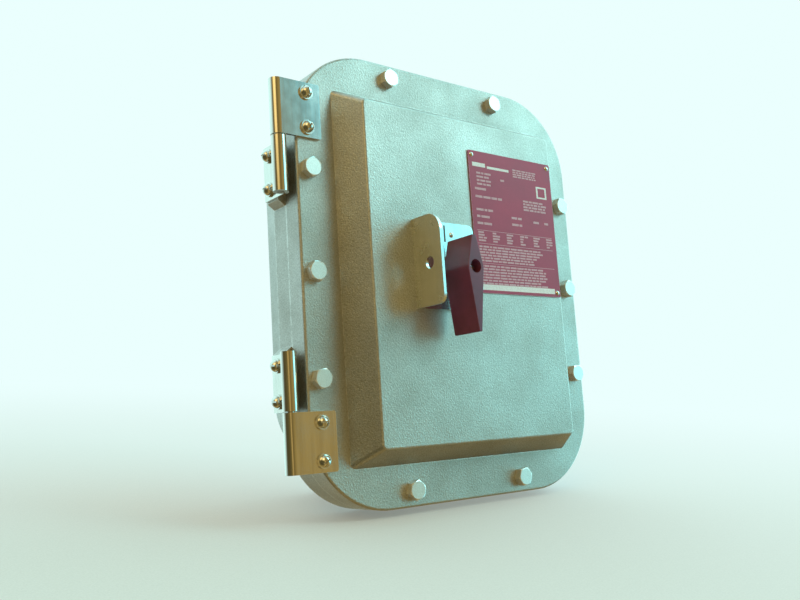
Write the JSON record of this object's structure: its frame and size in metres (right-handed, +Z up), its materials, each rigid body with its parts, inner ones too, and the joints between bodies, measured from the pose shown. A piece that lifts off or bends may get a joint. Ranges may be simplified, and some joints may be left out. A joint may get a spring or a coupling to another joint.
{
  "type": "fused disconnect switch",
  "caption": "Fused disconnect switch in a cast bolted enclosure: hinged cover, rotary handle with padlock ear, blades, fuses and lugs inside",
  "frame": {"origin": "centre of the four wall lugs on the wall face", "axes": "+X to the viewer's right, +Z up, the front faces -Y"},
  "size_m": [0.329, 0.1736, 0.37],
  "materials": {
    "cast_aluminium": "sandblasted, fine grained",
    "zinc_steel": "zinc plated",
    "bright_hinge": "polished plating",
    "bolt_aluminium": "bright machined",
    "handle_red": "satin maroon",
    "nameplate_red": "maroon with white print",
    "plate_aluminium": "bright sheet",
    "bronze": "machined",
    "shaft_steel": "turned",
    "seal_rubber": "smooth",
    "moulded_black": "moulded",
    "moulded_red": "moulded",
    "pan_steel": "white powder coat",
    "copper": "tinned copper",
    "lug_aluminium": "tin plated",
    "fibre_board": "vulcanised fibre",
    "fuse_paper": "printed tube",
    "green_steel": "green zinc"
  },
  "bodies": {
    "body": {"body_casting": "cast_aluminium", "flange_seal": "seal_rubber", "upper_hinge_body_leaf": "bright_hinge", "lower_hinge_body_leaf": "bright_hinge", "upper_hinge_pin": "shaft_steel", "lower_hinge_pin": "shaft_steel", "hinge_body_washers": "bright_hinge", "hinge_body_screws": "bright_hinge", "mounting_pan": "pan_steel", "pan_screws": "zinc_steel", "switch_base": "moulded_black", "base_screws": "zinc_steel", "ground_lug": "lug_aluminium", "ground_screw": "green_steel", "line_jaws": "copper", "line_lugs": "lug_aluminium", "line_lug_screws": "zinc_steel", "arc_shields": "fibre_board", "blade_posts": "copper", "pivot_pins": "shaft_steel", "mechanism_housing": "moulded_black", "drive_spring": "shaft_steel", "fuse_tubes": "fuse_paper", "fuse_caps": "copper", "line_fuse_clips": "copper", "load_fuse_clips": "copper", "strip_screws": "zinc_steel", "load_lugs": "lug_aluminium", "load_lug_screws": "zinc_steel", "phase_barriers": "fibre_board"},
    "cover": {"cover_casting": "cast_aluminium", "cover_bolts": "bolt_aluminium", "upper_hinge_cover_leaf": "bright_hinge", "lower_hinge_cover_leaf": "bright_hinge", "hinge_cover_washers": "bright_hinge", "hinge_cover_screws": "bright_hinge", "nameplate": "nameplate_red", "nameplate_rivets": "zinc_steel", "padlock_bracket": "plate_aluminium", "bracket_screws": "zinc_steel", "shaft_bushing": "bronze"},
    "handle": {"operating_shaft": "shaft_steel", "retaining_ring": "shaft_steel", "drive_fork": "zinc_steel", "fork_pin": "shaft_steel", "handle": "handle_red", "handle_screw": "zinc_steel"},
    "drive_hub": {"drive_hub": "moulded_red"},
    "blades": {"switch_blades": "copper", "crossbar": "moulded_red"}
  },
  "joints": [
    {"name": "cover_hinge", "type": "hinge", "parent": "body", "child": "cover", "pos_m": [-0.168, -0.1085, 0], "axis": [0, 0, -1], "range_deg": [0, 120]},
    {"name": "handle_turn", "type": "hinge", "parent": "cover", "child": "handle", "pos_m": [-0.0325, -0.15, 0], "axis": [0, -1, 0], "range_deg": [0, 90]},
    {"name": "hub_turn", "type": "hinge", "parent": "body", "child": "drive_hub", "pos_m": [-0.0325, -0.08, 0], "axis": [0, -1, 0], "range_deg": [0, 90]},
    {"name": "blades_turn", "type": "hinge", "parent": "body", "child": "blades", "pos_m": [0.04, -0.06, 0.03], "axis": [1, 0, 0], "range_deg": [0, 60]}
  ],
  "couplings": [
    {"joint": "hub_turn", "follows": "handle_turn", "ratio": 1},
    {"joint": "blades_turn", "follows": "handle_turn", "ratio": 0.66667}
  ]
}
